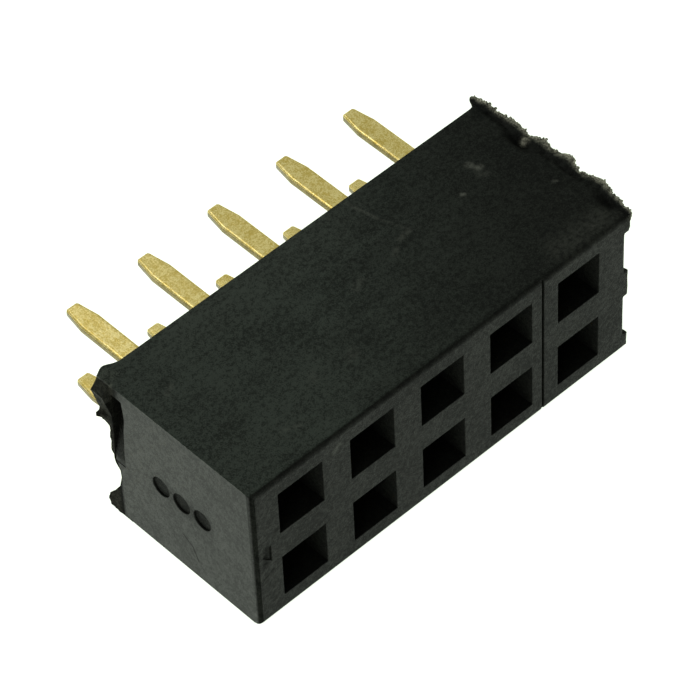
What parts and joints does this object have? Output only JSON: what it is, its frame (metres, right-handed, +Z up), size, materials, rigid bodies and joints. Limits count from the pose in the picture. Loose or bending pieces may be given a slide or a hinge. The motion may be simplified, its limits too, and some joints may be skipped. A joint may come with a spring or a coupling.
{
  "type": "female pin header strip",
  "caption": "Two-row female pin header strip, cut from a longer one: black moulded housing with square sockets and flat gold solder tails.",
  "frame": {"origin": "board side of the housing, midway between the two rows and at the middle column", "axes": "+X along the row towards the cut end, +Y out of the board side along the solder tails, +Z up with the strip lying on its long side"},
  "size_m": [0.0144, 0.0089, 0.0052],
  "materials": {
    "housing_plastic": "black glass-filled plastic, matte, lightly scuffed, torn and pale along the cut end",
    "contact_plating": "thin gold plating over stamped copper alloy, fine stamping lines"
  },
  "bodies": {
    "root": {"housing": "housing_plastic", "contact_upper_1": "contact_plating", "contact_upper_2": "contact_plating", "contact_upper_3": "contact_plating", "contact_upper_4": "contact_plating", "contact_upper_5": "contact_plating", "contact_lower_1": "contact_plating", "contact_lower_2": "contact_plating", "contact_lower_3": "contact_plating", "contact_lower_4": "contact_plating", "contact_lower_5": "contact_plating"}
  },
  "joints": []
}
